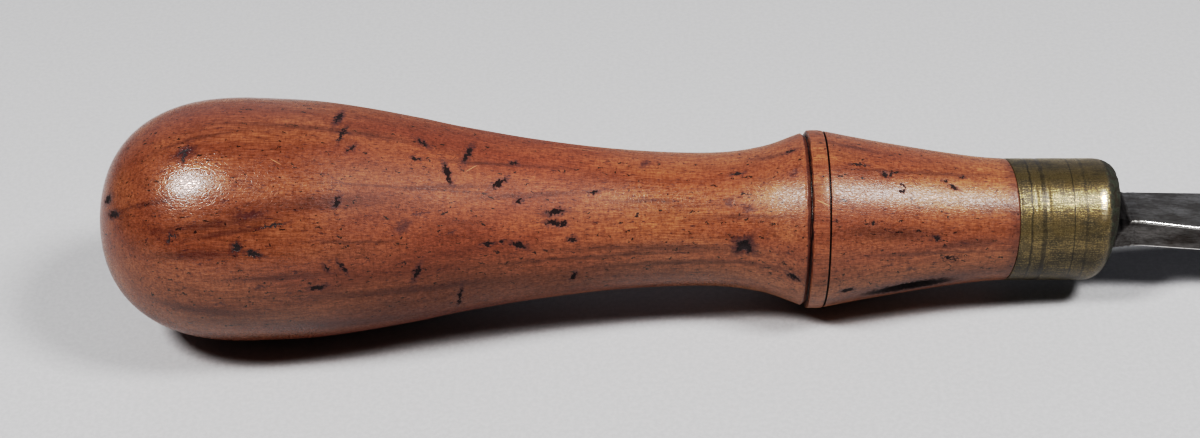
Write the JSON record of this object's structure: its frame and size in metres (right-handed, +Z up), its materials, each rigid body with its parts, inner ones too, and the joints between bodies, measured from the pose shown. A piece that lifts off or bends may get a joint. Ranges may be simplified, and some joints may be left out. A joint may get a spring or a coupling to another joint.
{
  "type": "bench chisel",
  "caption": "Tanged bench chisel: pear-shaped turned wooden handle with a grooved shoulder, a domed brass ferrule and a tapered forged blade with a bevelled edge.",
  "frame": {"origin": "on the bench, under the middle of the tool's bounding box", "axes": "+X from the butt of the handle to the cutting edge, +Z up from the bench, with the tool lying on its bulb and the lower corner of its cutting edge"},
  "size_m": [0.2322, 0.0318, 0.032],
  "materials": {
    "turned_wood": "red-brown fruitwood, oiled and handled to a soft shine, with dark dents and fine grain along the handle",
    "aged_brass": "old brass gone olive brown, rubbed bright along the top, with faint turned bands and green tarnish on the front",
    "forged_steel": "old forged tool steel, filed lengthways and patinated grey-brown, bright on the corners"
  },
  "bodies": {
    "root": {"handle": "turned_wood", "ferrule": "aged_brass", "blade": "forged_steel"}
  },
  "joints": []
}
